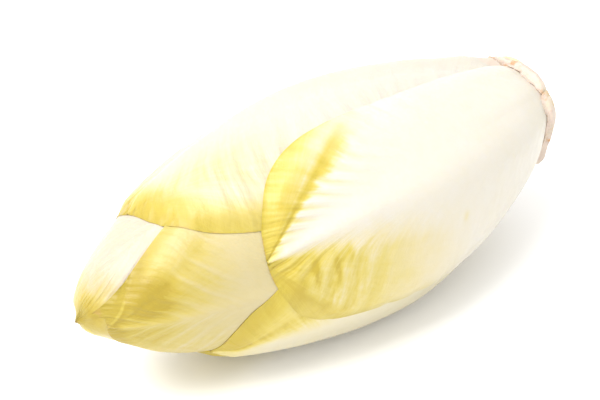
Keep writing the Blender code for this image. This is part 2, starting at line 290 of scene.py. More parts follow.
def foldedCorner(leaf, share, offset):
    # millimetres past the crease of a folded tip, and the step in the surface there
    fold = leaf["beak"]
    if not fold:
        return np.full_like(share, detail["notFolded"]), 0
    creaseRise = fold["creaseSlope"] * (offset + leaf["azimuth"] - fold["creaseFrom"])
    past = (share - fold["creaseShare"] - creaseRise) * headLength * 1000
    ridge = fold["ridge"] * np.exp(-((past - fold["ridgeAt"]) / fold["ridgeWidth"]) ** 2)
    return past, fold["drop"] * (ridge - smoothStep(*fold["step"], past)) + fold["drop"]


def leafForm(leaf, share, offset):
    # everything that varies over a leaf, for places given by share and degrees off its middle
    width, straight, above = halfWidth(leaf, share)
    left = leaf["tip"] - share
    sway = leaf["ribSway"] * (1 - np.exp(-np.maximum(left, 0) / detail["swayReach"]))
    fromRib = offset + (sway + leaf["ribLean"] * left ** 2)
    sideways = np.abs(fromRib)
    upper = smoothStep(-detail["ribSoft"], detail["ribSoft"], -fromRib)    # 1 at smaller azimuths
    degree = math.pi / 180 * (headRadius(share) + detail["leastRadius"])   # metres round the head
    along = np.clip((share - leaf["base"]) / (leaf["tip"] - leaf["base"]), 0, 1)
    edge = marginDistance(leaf, offset, straight, above, degree)

    fanLength = np.clip(left / leaf["fanReach"], *detail["fanLimits"]) ** leaf["fanPower"]
    fan = leaf["halfSwell"] * sided(leaf["fan"], upper) * fanLength
    fanPlace = sideways / fan
    wanderAlong, wanderRound = detail["wanderRates"]
    wander = leaf["wander"] * gentleNoise(share * wanderAlong, offset * wanderRound, leaf["seed"])
    climb = sided(leaf["veinRise"], upper) * (1 - np.exp(-sideways / sided(leaf["veinBend"], upper)))
    course = (share - climb) / sided(leaf["veinSpacing"], upper) + wander + detail["firstCourse"]
    vein = 0.5 + 0.5 * np.cos(2 * math.pi * course)

    ridge = np.exp(-(sideways / between(leaf["ribWidth"], along)) ** 2)
    thin = np.clip(edge / leaf["edgeBand"], 0, 1)
    fullBlade = leaf["blade"] * (1 - detail["bladeThins"] * along)
    blade = leaf["edge"] + (fullBlade - leaf["edge"]) * thin * (2 - thin)
    wall = blade + (leaf["rib"] - leaf["blade"]) * (1 - detail["ribThins"] * along) * ridge

    nearTip = smoothStep(*detail["reliefFrom"], left / leaf["fanReach"])
    rim = smoothStep(*detail["rim"], edge)
    grooveDepth = sided(leaf["groove"], upper)
    groove = grooveDepth * np.exp(-((fanPlace - 1) / detail["grooveWidth"]) ** 2)
    groove = groove * smoothStep(*detail["grooveEnds"], left)
    lipPlace = np.clip((sideways - fan) / np.maximum(width - fan, detail["leastLip"]), 0, 1)
    lip = sided(leaf["lip"], upper) * np.sin(math.pi * lipPlace)
    relief = (lip + grooveDepth - groove) * nearTip * rim
    veined = smoothStep(*detail["veinsFrom"], fanPlace) * (1 - smoothStep(*detail["veinsEnd"], fanPlace))
    veined = veined * smoothStep(*detail["veinsAlong"], along)
    relief = relief - leaf["veinHeight"] * (1 - vein) ** 2 * veined
    waveAlong, waveRound = detail["waveRates"]
    waving = gentleNoise(share * waveAlong, offset * waveRound, leaf["seed"] + detail["waveSeed"])
    relief = relief + leaf["wave"] * (waving * smoothStep(*detail["wavesAlong"], along)) * rim
    fold, step = foldedCorner(leaf, share, offset)
    patch = np.zeros_like(share)
    for spot, middle, reach, wide, amount in leaf["patches"]:
        patch += amount * np.exp(-((share - spot) / reach) ** 2 - ((offset - middle) / wide) ** 2)
    return {"wall": wall, "relief": relief + step, "edge": edge * 1000, "fan": fanPlace,
            "course": course, "left": left * headLength * 1000,
            "cut": (share - leaf["base"]) * headLength * 1000, "side": fromRib / leaf["halfSwell"],
            "rib": ridge, "fold": fold, "patch": patch}


storedMarks = ("edge", "fan", "course", "left", "cut", "side", "rib", "fold", "patch")


def layOn(leaf, pile, reach):
    offset = (directionAngles - leaf["azimuth"] + 180) % 360 - 180
    share, offset = np.meshgrid(stationShares, offset, indexing="ij")
    form = leafForm(leaf, share, offset)
    width = halfWidth(leaf, share)[0]
    inside = (share >= leaf["base"]) & (share <= leaf["tip"]) & (np.abs(offset) <= width)
    close = smoothStep(leaf["hug"] * 1000, 0, form["edge"]) * smoothStep(*leaf["hugAlong"], share)
    over = blanket(pile, reach)
    level = headRadius(stationShares)[:, None]
    draped = level + average(shifted(average(shifted(pile - level, leaf["drape"], 0)), leaf["drape"], 1))
    gap = leaf["gap"] * (1 - detail["gapCloses"] * close)
    leaf["under"] = over + (np.minimum(draped, over) - over) * close + gap
    return np.where(inside, leaf["under"] + form["wall"] + form["relief"], pile)


def wrapHead():
    # choose the surface under the wrapped leaves so that the head keeps its girth
    wanted = headRadius(stationShares)[:, None]
    least = np.maximum(coreRadius(stationShares), core["tipHollow"])[:, None]
    free = (stationShares >= net["fitFrom"])[:, None]
    inner = least + np.zeros((1, net["directions"]))
    for fitRound in range(net["fitRounds"] + 1):
        pile = inner
        for leaf in leaves:
            pile = layOn(leaf, pile, net["leafReach"])
        if fitRound < net["fitRounds"]:
            error = np.where(free, pile.mean(axis=1, keepdims=True) - wanted, 0)
            inner = np.maximum(inner - average(shifted(error, net["fitReach"], 0)), least)
    return inner, pile


innerSurface, outerSurface = wrapHead()
girthRow = round((head["girthAt"] - net["first"]) / net["stationStep"])
girthRadius = float(outerSurface[girthRow].mean()) * 1000
print("pile laid: mean radius at the girth", round(girthRadius, 1), "mm")

mesh = {
    "leafRows": 170, "leafDegrees": 0.9, "mostColumns": 180,
    "heartRows": 60, "heartDegrees": 3.0,
    "arcPoints": 361, "sidePoints": 60,            # along half of a leaf's outline
    "corner": 200,                                 # the arc's point where the side becomes the top
    "tearRates": (0.2, 3),
    "leastSlant": 0.3,
    "smoothAngle": 60,
}


def spacedOut(share, offset, parts):
    length = np.hypot(np.diff(share) * headLength, np.radians(np.diff(offset)) * head["girth"])
    run = np.append(0, np.cumsum(length))
    return np.interp(parts * run[-1], run, share), np.interp(parts * run[-1], run, offset)


def leafNet(leaf, rows, columns):
    # places for a leaf's points, row by row, fitted inside its outline
    bend = np.radians(np.linspace(0, 90, mesh["arcPoints"]))
    arcShare = leaf["swell"] + (leaf["tip"] - leaf["swell"]) * np.sin(bend) ** (2 / leaf["bluntness"])
    arcOffset = leaf["halfSwell"] * np.cos(bend) ** (2 / leaf["roundness"])
    corner = mesh["corner"]
    low = np.linspace(leaf["base"], leaf["swell"], mesh["sidePoints"])[:-1]
    up = np.linspace(0, 1, rows + 1)
    sideShare, sideOffset = spacedOut(np.append(low, arcShare[:corner + 1]),
                                      np.append(halfWidth(leaf, low)[0], arcOffset[:corner + 1]), up)
    halfTop = spacedOut(arcShare[corner:], arcOffset[corner:], np.linspace(0, 1, columns // 2 + 1))
    topShare = np.append(halfTop[0], halfTop[0][-2::-1])
    topOffset = np.append(-halfTop[1], halfTop[1][-2::-1])
    across = np.linspace(-1, 1, columns + 1)[None, :]
    up = up[:, None]
    share = up * topShare + sideShare[:, None] - up * sideShare[-1]
    tearAcross, tearUp = mesh["tearRates"]
    tears = gentleNoise(across * leaf["halfSwell"] * tearAcross, up * tearUp, leaf["seed"])
    share = share + leaf["ragged"] * tears * up ** 2
    offset = up * topOffset + across * sideOffset[:, None] - up * across * sideOffset[-1]
    beak = leaf["beak"]
    if beak:
        point = np.clip(1 - np.abs(offset - beak["offset"]) / beak["half"], 0, 1)
        sharper = point * (1 - beak["pointed"] + beak["pointed"] * point)
        share = share + beak["reach"] * sharper * up ** beak["power"]
    return share, offset


tipClose = {"from": 0.962, "left": 0.06}           # the leaves draw together to a point
resting = {"leastDownwards": 0.05, "lowest": 0.00005}


def press(share, azimuth, radius):
    # the belly is squeezed flat where it rests on the table
    downwards = np.maximum(-np.cos(np.radians(azimuth)), resting["leastDownwards"])
    table = axisHeight(share) / downwards
    outside = np.maximum(readField(outerSurface, share, azimuth), table)
    still = table - head["pressDepth"]
    squeezed = still + (radius - still) * (table - still) / (outside - still)
    return np.where(radius > still, squeezed, radius)


def place(share, azimuth, radius):
    turn = np.radians(azimuth)
    toPoint = np.clip((share - tipClose["from"]) / (1 - tipClose["from"]), 0, 1)
    radius = radius * np.sqrt(1 - toPoint ** 2 * (1 - tipClose["left"] ** 2))
    x = head["baseX"] - share * headLength
    y = head["axisY"] - radius * np.sin(turn)
    z = np.maximum(axisHeight(share) + radius * np.cos(turn), resting["lowest"])
    return np.stack([x, y, z], axis=-1)


def deselectAll():
    for thing in bpy.context.selected_objects:
        thing.select_set(False)


def addGrid(name, rows, columns):
    deselectAll()
    bpy.ops.mesh.primitive_grid_add(x_subdivisions=columns, y_subdivisions=rows, size=2)
    made = bpy.context.active_object
    made.name = name
    return made


def gridOrder(made, rows, columns):
    spots = np.empty(len(made.data.vertices) * 3)
    made.data.vertices.foreach_get("co", spots)
    parts = (spots.reshape(-1, 3) + 1) / 2
    return np.round(parts[:, 1] * rows).astype(int), np.round(parts[:, 0] * columns).astype(int)


def movePoints(made, spots):
    made.data.vertices.foreach_set("co", spots.ravel())
    made.data.update()


def storeAttribute(made, name, values):
    layer = made.data.attributes.new(name, "FLOAT", "POINT")
    layer.data.foreach_set("value", np.ascontiguousarray(values, dtype=np.float32))


def finishPiece(made, material, node):
    bpy.ops.object.shade_smooth_by_angle(angle=math.radians(mesh["smoothAngle"]))
    made.data.materials.clear()
    made.data.materials.append(material)
    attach(made, "root")
    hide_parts(node)


def slantedWall(made, wall, azimuth):
    # the wall is given along the radius, and Solidify measures it along the normal
    normals = np.empty(len(made.data.vertices) * 3)
    made.data.vertices.foreach_get("normal", normals)
    turn = np.radians(azimuth)
    outward = np.stack([np.zeros_like(turn), -np.sin(turn), np.cos(turn)], axis=-1)
    upright = (normals.reshape(-1, 3) * outward).sum(axis=1)
    return wall * np.clip(upright, mesh["leastSlant"], 1)


def giveWall(made, wall):
    thickest = float(wall.max())
    group = made.vertex_groups.new(name="wall")
    for index, weight in enumerate(wall / thickest):
        group.add([index], float(weight), "REPLACE")
    skin = made.modifiers.new("wall", "SOLIDIFY")
    skin.thickness = thickest
    skin.offset = -1
    skin.vertex_group = "wall"
    bpy.ops.object.modifier_apply(modifier=skin.name)


def makeLeaf(leaf, rows, columns, material, stretch=None):
    made = addGrid(leaf["node"].replace("leaf_", "endive_leaf_"), rows, columns)
    bpy.ops.object.mode_set(mode="EDIT")
    bpy.ops.mesh.select_all(action="SELECT")
    bpy.ops.mesh.flip_normals()                    # the grid's upper side becomes the leaf's back
    bpy.ops.object.mode_set(mode="OBJECT")
    row, column = gridOrder(made, rows, columns)
    share, offset = leafNet(leaf, rows, columns)
    form = leafForm(leaf, share, offset)
    azimuth = leaf["azimuth"] + offset
    radius = readField(leaf["under"], share, azimuth) + form["wall"] + form["relief"]
    if stretch is not None:
        middle = np.maximum(coreRadius(share), core["hollow"])
        radius = middle + (radius - middle) * readField(stretch, share, azimuth)
    movePoints(made, place(share, azimuth, press(share, azimuth, radius))[row, column])
    for mark in storedMarks:
        storeAttribute(made, mark, form[mark][row, column])
    giveWall(made, slantedWall(made, form["wall"][row, column], azimuth[row, column]))
    finishPiece(made, material, leaf["node"])


class Wire:                                        # a socket that sums can be written with
    def __init__(self, finish, socket):
        self.finish, self.socket = finish, socket

    def maths(self, operation, *others):
        return self.finish.node("Math", {"operation": operation}, dict(enumerate((self,) + others)))

    def __add__(self, other):
        return self.maths("ADD", other)

    def __sub__(self, other):
        return self.maths("SUBTRACT", other)

    def __rsub__(self, other):
        return self.finish.node("Math", {"operation": "SUBTRACT"}, {0: other, 1: self})

    def __mul__(self, other):
        return self.maths("MULTIPLY", other)

    def __pow__(self, other):
        return self.maths("POWER", other)

    __radd__ = __add__
    __rmul__ = __mul__


class Finish:                                      # a material and the nodes that are added to it
    def __init__(self, name):
        self.material = bpy.data.materials.new(name)
        self.material.use_nodes = True
        self.tree = self.material.node_tree
        self.shader = self.tree.nodes["Principled BSDF"]
        self.spot = self.node("TexCoord", output="Object")

    def node(self, kind, settings=None, inputs=None, output=0):
        added = self.tree.nodes.new("ShaderNode" + kind)
        for key, value in (settings or {}).items():
            if key == "stops":
                self.setStops(added.color_ramp, value)
            else:
                setattr(added, key, value)
        for key, value in (inputs or {}).items():
            self.join(added.inputs[key], value)
        return Wire(self, added.outputs[output])

    def join(self, socket, value):
        if isinstance(value, Wire):
            self.tree.links.new(value.socket, socket)
        elif isinstance(value, tuple) and len(value) == 3 and socket.type == "RGBA":
            socket.default_value = (*value, 1)
        else:
            socket.default_value = value

    def setStops(self, ramp, stops):
        while len(ramp.elements) > 1:
            ramp.elements.remove(ramp.elements[-1])
        ramp.elements[0].position, ramp.elements[0].color = stops[0][0], (*stops[0][1], 1)
        for position, colour in stops[1:]:
            ramp.elements.new(position).color = (*colour, 1)

    def attribute(self, name):
        return self.node("Attribute", {"attribute_name": name}, output="Fac")

    def noise(self, scale, detail=2.0, roughness=0.55, vector=None):       # between -0.5 and 0.5
        inputs = {"Vector": vector or self.spot, "Scale": scale, "Detail": detail, "Roughness": roughness}
        return self.node("TexNoise", None, inputs, output="Fac") - 0.5

    def rise(self, value, low, high):              # 0 below low, 1 above high, smooth between
        return self.node("MapRange", {"interpolation_type": "SMOOTHSTEP"},
                         {"Value": value, "From Min": low, "From Max": high})

    def near(self, value, middle, low, high):      # 1 within low of the middle, 0 beyond high
        return 1 - self.rise((value - middle).maths("ABSOLUTE"), low, high)

    def troughs(self, phase):                      # 0 at each whole number, 1 half way between
        return (phase * (2 * math.pi)).maths("COSINE") * -0.5 + 0.5

    def both(self, value, second):                 # the first of a pair, turning into the second
        return second * (value[1] - value[0]) + value[0] if isinstance(value, tuple) else value

    def mix(self, factor, first, second, blend="MIX"):
        return self.node("Mix", {"data_type": "RGBA", "blend_type": blend},
                         {0: factor, 6: first, 7: second}, output=2)

    def ramp(self, value, stops):
        return self.node("ValToRGB", {"stops": stops}, {"Fac": value})

    def together(self, x, y, z):
        return self.node("CombineXYZ", None, {0: x, 1: y, 2: z})

    def skin(self, colour, roughness, height, depth, glow):
        bumpInputs = {"Height": height, "Distance": depth, "Strength": 1.0}
        bump = self.node("Bump", None, bumpInputs, output="Normal")
        self.join(self.shader.inputs["Base Color"], colour)
        self.join(self.shader.inputs["Roughness"], roughness)
        self.join(self.shader.inputs["Normal"], bump)
        for name, value in glow.items():
            self.shader.inputs[name].default_value = value
        return self.material


leafSkin = {                                       # linear colours from the rib to the deepest yellow
    "white": (0.535, 0.505, 0.445),
    "cream": (0.528, 0.457, 0.265),
    "pale": (0.495, 0.406, 0.113),
    "yellow": (0.443, 0.344, 0.046),
    "olive": (0.371, 0.275, 0.021),
    "steps": (0.0, 0.30, 0.55, 0.80, 1.0),
    "rust": (0.365, 0.175, 0.073),
    "cutBrown": (0.532, 0.429, 0.349),
    "cutBrownAmount": 0.8,
    "roughness": 0.44,
    "glow": {"Subsurface Weight": 0.18, "Subsurface Radius": (1.0, 0.75, 0.35),
             "Subsurface Scale": 0.0020, "Specular IOR Level": 0.45},
}
noises = {                                         # scale and detail
    "drift": (90, 2),                              # patches about a centimetre wide
    "mottle": (420, 3),                            # and a few millimetres wide
    "grain": (2600, 3),                            # fine, near the size of the cells
    "rust": (330, 3),
    "threads": (1, 3, 0.6),                        # these three follow the veins
    "streaks": (1, 2, 0.6),
    "uneven": (1, 2, 0.6),
}
rates = {                                          # how fast each pattern runs along the marks
    "fine": (2.6, 1.5),                            # by course and side
    "threads": (6, 7, 0.05),                       # by course, side and left
    "streaks": (14, 0.5, 2),                       # by fan, course and side
    "uneven": (1.8, 3, 7.0),                       # by course and side, at one depth of the noise
}
drifts = {                                         # how far the drift moves each mark
    "toTip": 18, "fan": 0.25, "fingers": 0.10, "veinsTo": 14, "tip": 6, "cut": 6, "fine": 1.6,
    "yellow": 0.10,
}
mottles = {                                        # and how far the mottle does
    "vein": 0.10, "margin": 1.8, "yellow": 0.07, "patch": 0.8, "cut": 3, "roughness": 0.12,
}
weights = {                                        # how much of one mark is in another
    "weakestVein": 0.4, "threadsInFan": 0.15, "unevenInFan": 0.45, "threadsInPatch": 0.8,
    "calmBeyond": 0.75, "lipLostAtTip": 0.7, "rimLostBelow": 0.5,
    "foldYellow": 0.20, "creasePale": 0.30, "grainRoughness": 0.10,
}
bumps = {
    "depth": 0.0003, "grain": 0.08, "mottle": 0.35, "threads": 0.4, "crest": 0.6, "fine": 0.15,
}
limits = {                                         # where each mark begins and where it is full
    "otherSide": (-0.03, 0.03), "groove": (0.76, 0.97), "grooveEnd": (1.00, 1.20), "beyond": (0.95, 1.25),
    "rim": (0.10, 0.80), "thinEdge": (0.05, 0.45), "lipTip": (6, 26), "rust": (0.0, 0.16),
    "crease": (0.10, 0.55), "folded": (-0.1, 0.5), "cut": (3.0, 5.5),
}
marginFrom, creaseAt = 0.3, -0.45


def leafVeins(leaf, look, at):
    # main veins, a finer family between them, threads along them and streaks across them
    course, side = at["course"], at["side"]
    phase = course + at["mottle"] * mottles["vein"]
    veinNumber = {"W": phase.maths("FLOOR")}
    chance = leaf.node("TexWhiteNoise", {"noise_dimensions": "1D"}, veinNumber, output="Value")
    strength = chance * (1 - weights["weakestVein"]) + weights["weakestVein"]
    valley = leaf.troughs(phase) ** look["sharpness"] * strength
    byCourse, bySide = rates["fine"]
    fine = leaf.troughs(course * byCourse + at["drift"] * drifts["fine"] + side * bySide)
    byCourse, bySide, byLeft = rates["threads"]
    threadsAt = leaf.together(course * byCourse, side * bySide, at["left"] * byLeft)
    byFan, byCourse, bySide = rates["streaks"]
    streaksAt = leaf.together(at["fan"] * byFan, course * byCourse, side * bySide)
    return {"valley": valley, "crest": (1 - valley) ** look["crestPower"], "fine": fine,
            "threads": leaf.noise(*noises["threads"], threadsAt),
            "streaks": leaf.noise(*noises["streaks"], streaksAt)}


def leafYellow(leaf, look, at, vein):
    # how yellow the leaf is, from 0 on the rib to 1, and where its veined part lies
    fan, left, edge, drift, mottle = [at[mark] for mark in ("fan", "left", "edge", "drift", "mottle")]
    lower = leaf.rise(at["side"], *limits["otherSide"])       # 1 on the side with the larger azimuth

    def pick(name):
        return leaf.both(look[name], lower)

    toTip = 1 - leaf.rise(left + drift * drifts["toTip"], look["leftFrom"], pick("leftTo"))
    outwardPlace = fan + drift * drifts["fan"] + vein["threads"] * weights["threadsInFan"]
    outward = leaf.rise(outwardPlace, pick("fanFrom"), pick("fanTo"))
    byCourse, bySide, depth = rates["uneven"]
    unevenAt = leaf.together(at["course"] * byCourse, at["side"] * bySide, depth)
    rounded = fan + drift * drifts["fingers"]
    fingers = rounded + leaf.noise(*noises["uneven"], unevenAt) * weights["unevenInFan"]
    groove = leaf.rise(fingers, *limits["groove"]) * (1 - leaf.rise(rounded, *limits["grooveEnd"]))
    groove = groove * (1 - lower)
    beyond = leaf.rise(fingers, *limits["beyond"])
    marginPlace = edge + mottle * mottles["margin"] + vein["streaks"]
    margin = 1 - leaf.rise(marginPlace, marginFrom, look["marginWidth"])

    veining = vein["valley"] * pick("valley") + vein["fine"] * look["fine"]
    veining = veining + vein["threads"] * pick("threads") - vein["crest"] * look["crest"]
    veining = veining * (1 - beyond * weights["calmBeyond"]) * (1 - groove * look["grooveCalm"])
    veining = veining * (1 - leaf.rise(left + drift * drifts["veinsTo"], *look["veinsTo"]) * lower)
    yellow = outward * (veining + pick("amount")) + groove * look["groove"]
    lipLost = leaf.rise(left, *limits["lipTip"]) * (1 - lower) * weights["lipLostAtTip"]
    lip = beyond * pick("lip") * (1 - lipLost)
    yellow = yellow + margin * pick("margin") - lip * (1 - margin)
    yellow = yellow + vein["streaks"] * look["streaks"] * outward
    rim = (1 - leaf.rise(edge, *limits["rim"])) * (1 - lower * weights["rimLostBelow"])
    yellow = yellow + rim * look["rimLine"]
    veryTip = 1 - leaf.rise(left + drift * drifts["tip"], *look["tip"])
    veryTip = veryTip * (1 - at["rib"] * look["paleRib"])
    yellow = (yellow + veryTip * look["tipAmount"]) * toTip + look["base"]
    yellow = yellow + drift * drifts["yellow"] + mottle * mottles["yellow"]
    uneven = mottle * mottles["patch"] + vein["threads"] * weights["threadsInPatch"]
    yellow = yellow + at["patch"] * (uneven + 1)
    yellow = yellow + leaf.rise(at["fold"], *limits["folded"]) * weights["foldYellow"]
    yellow = yellow - leaf.near(at["fold"], creaseAt, *limits["crease"]) * weights["creasePale"]
    return yellow, outward


def leafMaterial(name, look):
    leaf = Finish(name)
    at = {mark: leaf.attribute(mark) for mark in storedMarks}
    at.update({size: leaf.noise(*noises[size]) for size in ("drift", "mottle", "grain")})
    vein = leafVeins(leaf, look, at)
    yellow, outward = leafYellow(leaf, look, at, vein)
    shades = [leafSkin[shade] for shade in ("white", "cream", "pale", "yellow", "olive")]
    colour = leaf.ramp(yellow, list(zip(leafSkin["steps"], shades)))
    # each leaf's colour is multiplied by its tint, which on the tip leaves is also painted shade
    colour = leaf.mix(1.0, colour, look["tintAndShade"], "MULTIPLY")
    thinEdge = 1 - leaf.rise(at["edge"], *limits["thinEdge"])
    rust = thinEdge * leaf.rise(leaf.noise(*noises["rust"]), *limits["rust"]) * look["rust"]
    colour = leaf.mix(rust, colour, leafSkin["rust"])
    cutPlace = at["cut"] + at["mottle"] * mottles["cut"] + at["drift"] * drifts["cut"]
    browned = (1 - leaf.rise(cutPlace, *limits["cut"])) * leafSkin["cutBrownAmount"]
    colour = leaf.mix(browned, colour, leafSkin["cutBrown"])
    roughness = leafSkin["roughness"] + at["mottle"] * mottles["roughness"]
    roughness = roughness + at["grain"] * weights["grainRoughness"]
    ridges = (vein["crest"] * bumps["crest"] - vein["valley"]) * look["relief"]
    lines = ridges + vein["threads"] * bumps["threads"] - vein["fine"] * bumps["fine"]
    height = at["grain"] * bumps["grain"] + at["mottle"] * bumps["mottle"] + lines * outward
    return leaf.skin(colour, roughness, height, bumps["depth"], leafSkin["glow"])


# Lengths are in millimetres, and the fan's limits are shares of it. A pair that isn't a
# stretch from one place to another is for the rib's two sides, the upper one first.
plainLook = {
    "leftFrom": 22, "leftTo": 52,                  # the yellow fades over this, from the tip
    "fanFrom": 0.35, "fanTo": 0.95,
    "base": 0.03, "amount": 0.32,
    "valley": 0.22, "sharpness": 1.6, "crest": 0.10, "crestPower": 8.0, "fine": 0.08,
    "threads": 0.30, "streaks": 0.25, "veinsTo": (90, 120),
    "groove": 0.10, "grooveCalm": 0.0, "lip": 0.05,
    "margin": 0.15, "marginWidth": 5.0, "rimLine": 0.0,
    "tip": (2, 14), "tipAmount": 0.20, "paleRib": 0.3,
    "rust": 0.3, "relief": 0.5, "tintAndShade": (1.0, 1.0, 1.0),
}
# The tint multiplier at the end of a look darkens leaf_04_top, leaf_06_front_tip and leaf_07_tip_hood. It
# is partly their own deeper colour and partly painted shade on the tip end, which faces away from the key
# light.
looks = {
    "leaf_01_outer_front": {
        **plainLook, "leftFrom": 14, "leftTo": (42, 60), "fanFrom": (0.20, 0.02), "fanTo": (0.98, 0.34),
        "amount": (0.14, 0.60), "valley": (0.34, 0.08), "sharpness": 3.0, "crest": 0.16,
        "threads": (0.15, 0.70), "veinsTo": (14, 34), "groove": 0.64, "grooveCalm": 0.85,
        "lip": (-0.47, -0.22), "margin": (0.50, 0.12), "rimLine": 0.12,
        "tip": (3, 13), "tipAmount": 0.14, "paleRib": 0.9, "relief": 0.22},
    "leaf_02_outer_back": plainLook,
    "leaf_03_under": {
        **plainLook, "base": 0.16, "amount": 0.55, "valley": 0.10, "margin": 0.17, "marginWidth": 9.0,
        "tintAndShade": (1.06, 1.07, 1.05)},
    "leaf_04_top": {
        **plainLook, "leftFrom": 14, "leftTo": 44, "fanFrom": -0.25, "fanTo": 0.8, "amount": 0.26,
        "valley": 0.03, "crest": 0.06, "fine": 0.06, "threads": 0.18, "streaks": 0.2,
        "margin": 0.42, "marginWidth": 13.0, "rimLine": 0.12,
        "tip": (-2, 14), "tipAmount": 0.22, "paleRib": 0.0, "tintAndShade": (0.90, 0.885, 0.87)},
    "leaf_05_back": plainLook,
    "leaf_06_front_tip": {
        **plainLook, "leftFrom": 8, "leftTo": 30, "fanFrom": -0.4, "fanTo": 0.5, "base": 0.34,
        "amount": 0.34, "valley": 0.08, "crest": 0.16, "crestPower": 40.0, "threads": 0.22,
        "margin": 0.34, "marginWidth": 4.5, "tipAmount": 0.10,
        "rust": 0.35, "relief": 0.30, "tintAndShade": (0.83, 0.815, 0.79)},
    "leaf_07_tip_hood": {
        **plainLook, "leftFrom": 1, "leftTo": 11, "fanFrom": -0.5, "fanTo": 0.4, "base": 0.15,
        "amount": 0.34, "valley": 0.10, "threads": 0.35, "margin": 0.06,
        "relief": 0.25, "tintAndShade": (0.81, 0.78, 0.80)},
    "leaf_08_tip_lining": {**plainLook, "amount": 0.55},
    "heart": {**plainLook, "amount": 0.45},
}


def evenColumns(leaf, degrees):
    return 2 * round(leaf["halfSwell"] / degrees)


def makeWrappedLeaves():
    for leaf in leaves:
        columns = min(evenColumns(leaf, mesh["leafDegrees"]), mesh["mostColumns"])
        material = leafMaterial(leaf["node"] + "_skin", looks[leaf["node"]])
        makeLeaf(leaf, mesh["leafRows"], columns, material)


makeWrappedLeaves()
print("wrapped leaves made:", len(leaves))


def heartLeaves():
    # the same leaf turned round the core, shorter and higher up towards the middle
    for number in reversed(range(heart["count"])):
        inward = number / (heart["count"] - 1)
        yield {**common, **heartLeaf, "node": f"leaf_{number + heart['firstNumber']:02d}_heart",
               "azimuth": heart["firstAzimuth"] + heart["turn"] * number,
               "base": between(heart["bases"], inward), "tip": between(heart["tips"], inward),
               "seed": heart["firstSeed"] + number}


def heartStretch(pile, middle):
    # how far the pile is stretched or squeezed so that it fills the room inside the wrapped leaves
    reach = net["leafReach"][0]
    room = (innerSurface - heart["clearance"] - middle).min(axis=1, keepdims=True)
    stretch = room / (pile.max(axis=1, keepdims=True) - middle + heart["clearance"])
    stretch = -highest(shifted(-np.clip(stretch, *heart["stretch"]), reach, 0))
    return average(shifted(stretch, reach, 0)) + np.zeros((1, net["directions"]))


def makeHeart():
    material = leafMaterial("heart_skin", looks["heart"])
    middle = np.maximum(coreRadius(stationShares), core["hollow"])[:, None]
    pile = middle + np.zeros((1, net["directions"]))
    made = list(heartLeaves())
    for leaf in made:
        pile = layOn(leaf, pile, net["leafReach"])
    stretch = heartStretch(pile, middle)
    for leaf in made:
        columns = evenColumns(leaf, mesh["heartDegrees"])
        makeLeaf(leaf, mesh["heartRows"], columns, material, stretch)


makeHeart()
print("heart leaves made:", heart["count"])

stump = {
    **common, "swell": 0.010, "halfBase": 60, "halfSwell": 61, "bluntness": 4.0, "roundness": 4.0,
    "rib": 0.0012, "blade": 0.0014, "edge": 0.00020, "edgeBand": 0.004, "gap": 0.00006,
    "hug": 0.010, "hugAlong": (-0.9, -0.5), "drape": 0, "veinHeight": 0.0, "wave": 0.0,
    "groove": 0.0, "lip": 0.0, "ragged": 0.008, "rows": 30, "degrees": 1.0,
}
stumps = [
    {**stump, "node": "leaf_stump_top", "azimuth": -8.0, "base": 0.001, "tip": 0.030, "seed": 61},
    {**stump, "node": "leaf_stump_front", "azimuth": 110.0, "base": 0.000, "tip": 0.036, "seed": 62},
    {**stump, "node": "leaf_stump_back", "azimuth": -128.0, "base": 0.001, "tip": 0.032, "seed": 63},
]
stumpSkin = {
    "stops": [(0.0, (0.56, 0.49, 0.40)), (0.4, (0.52, 0.42, 0.36)),
              (0.7, (0.50, 0.34, 0.22)), (1.0, (0.42, 0.21, 0.08))],
    "first": 0.26, "spots": 0.6, "mottle": 1.3,    # where on the ramp, and what moves it
    "fresh": (0.53, 0.50, 0.33), "freshAmount": 0.5, "freshNoise": (110, 2), "freshFrom": (0.0, 0.12),
    "brown": (0.50, 0.38, 0.30), "dryAmount": 0.4, "dryEdge": (0.3, 2.0),
    "cutAmount": 0.5, "cutEdge": (0.2, 1.6),
    "spotNoise": (230, 3), "spotFrom": (-0.02, 0.12), "mottleNoise": (500, 4), "edgeMottle": 2,
    "roughness": 0.62, "roughMottle": 0.2, "bump": 0.0005, "spotBump": 0.3,
    "glow": {"Subsurface Weight": 0.10, "Subsurface Radius": (1.0, 0.7, 0.4), "Subsurface Scale": 0.001},
}


def stumpMaterial():
    dried = Finish("dry_leaf_base")
    mottle = dried.noise(*stumpSkin["mottleNoise"])
    spots = dried.rise(dried.noise(*stumpSkin["spotNoise"]), *stumpSkin["spotFrom"])
    cut, left = dried.attribute("cut"), dried.attribute("left")
    shade = spots * stumpSkin["spots"] + mottle * stumpSkin["mottle"] + stumpSkin["first"]
    colour = dried.ramp(shade, stumpSkin["stops"])
    fresh = dried.rise(dried.noise(*stumpSkin["freshNoise"]), *stumpSkin["freshFrom"])
    colour = dried.mix(fresh * stumpSkin["freshAmount"], colour, stumpSkin["fresh"])
    moved = mottle * stumpSkin["edgeMottle"]
    dry = (1 - dried.rise(left + moved, *stumpSkin["dryEdge"])) * stumpSkin["dryAmount"]
    browned = (1 - dried.rise(cut + moved, *stumpSkin["cutEdge"])) * stumpSkin["cutAmount"]
    colour = dried.mix(browned + dry, colour, stumpSkin["brown"])
    roughness = stumpSkin["roughness"] + mottle * stumpSkin["roughMottle"]
    height = mottle + spots * stumpSkin["spotBump"]
    return dried.skin(colour, roughness, height, stumpSkin["bump"], stumpSkin["glow"])


def makeStumps():
    material = stumpMaterial()
    pile = outerSurface
    for leaf in stumps:
        pile = layOn(leaf, pile, net["stumpReach"])
        makeLeaf(leaf, leaf["rows"], evenColumns(leaf, leaf["degrees"]), material)


makeStumps()
print("leaf bases made:", len(stumps))

